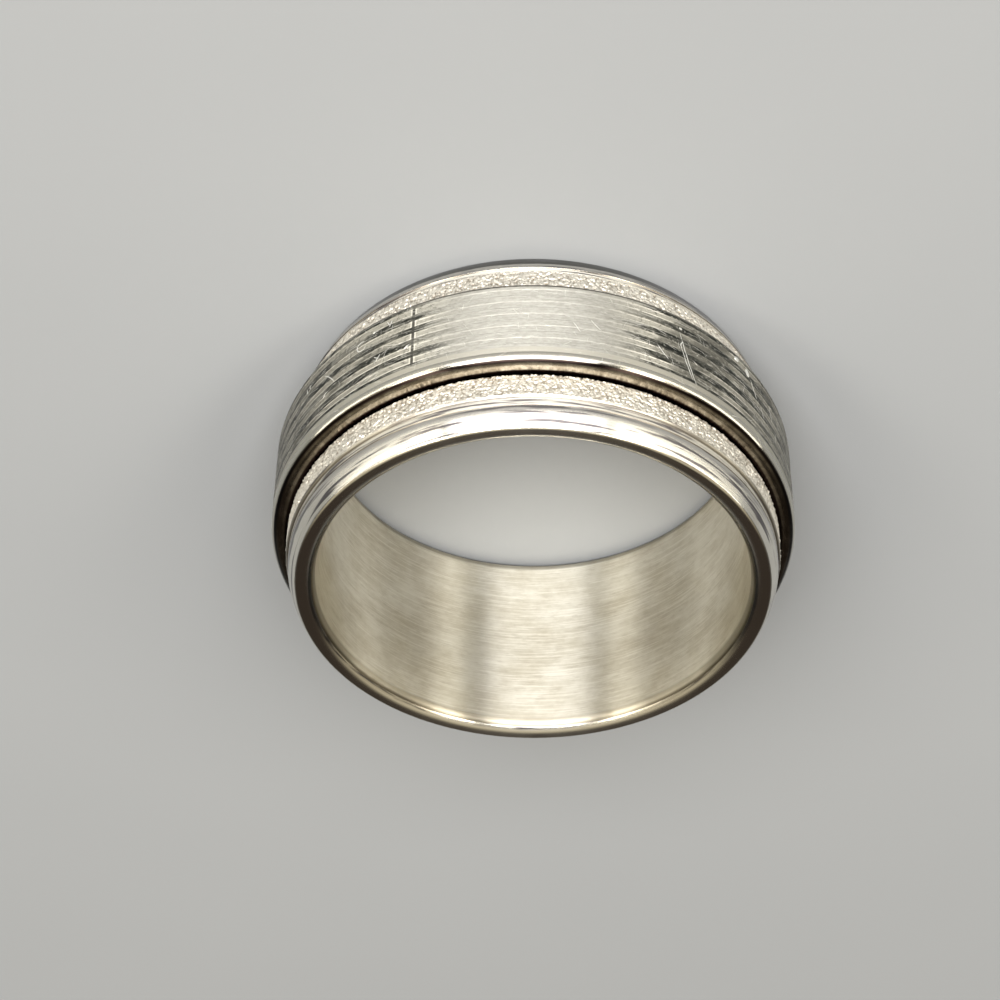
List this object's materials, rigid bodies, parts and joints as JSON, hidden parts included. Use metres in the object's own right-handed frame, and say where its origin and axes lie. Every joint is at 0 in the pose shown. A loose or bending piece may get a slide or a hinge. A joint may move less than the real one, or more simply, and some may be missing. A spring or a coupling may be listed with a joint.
{
  "type": "spinner ring",
  "caption": "Finger ring of steel: an inner band with two sparkling flange strips and polished shoulders, and a loose striped outer band that turns freely in its channel.",
  "frame": {"origin": "centre of the lower rim, on the axis of the finger bore, with the ring lying on its side", "axes": "+Z along the axis of the bore, towards the upper rim; -Y towards the side that faces the camera; the seam of the spinner band lies 63 degrees from +X towards -Y"},
  "size_m": [0.0226, 0.0226, 0.01],
  "materials": {
    "inner_steel": "satin bore, polished shoulders and blasted strips",
    "spinner_steel": "mirror polished, with satin stripes"
  },
  "bodies": {
    "inner": {"inner_band": "inner_steel"},
    "spinner": {"spinner_band": "spinner_steel"}
  },
  "joints": [
    {"name": "spinner_turn", "type": "hinge", "parent": "inner", "child": "spinner", "pos_m": [0, 0, 0.005], "axis": [0, 0, 1], "continuous": true}
  ]
}
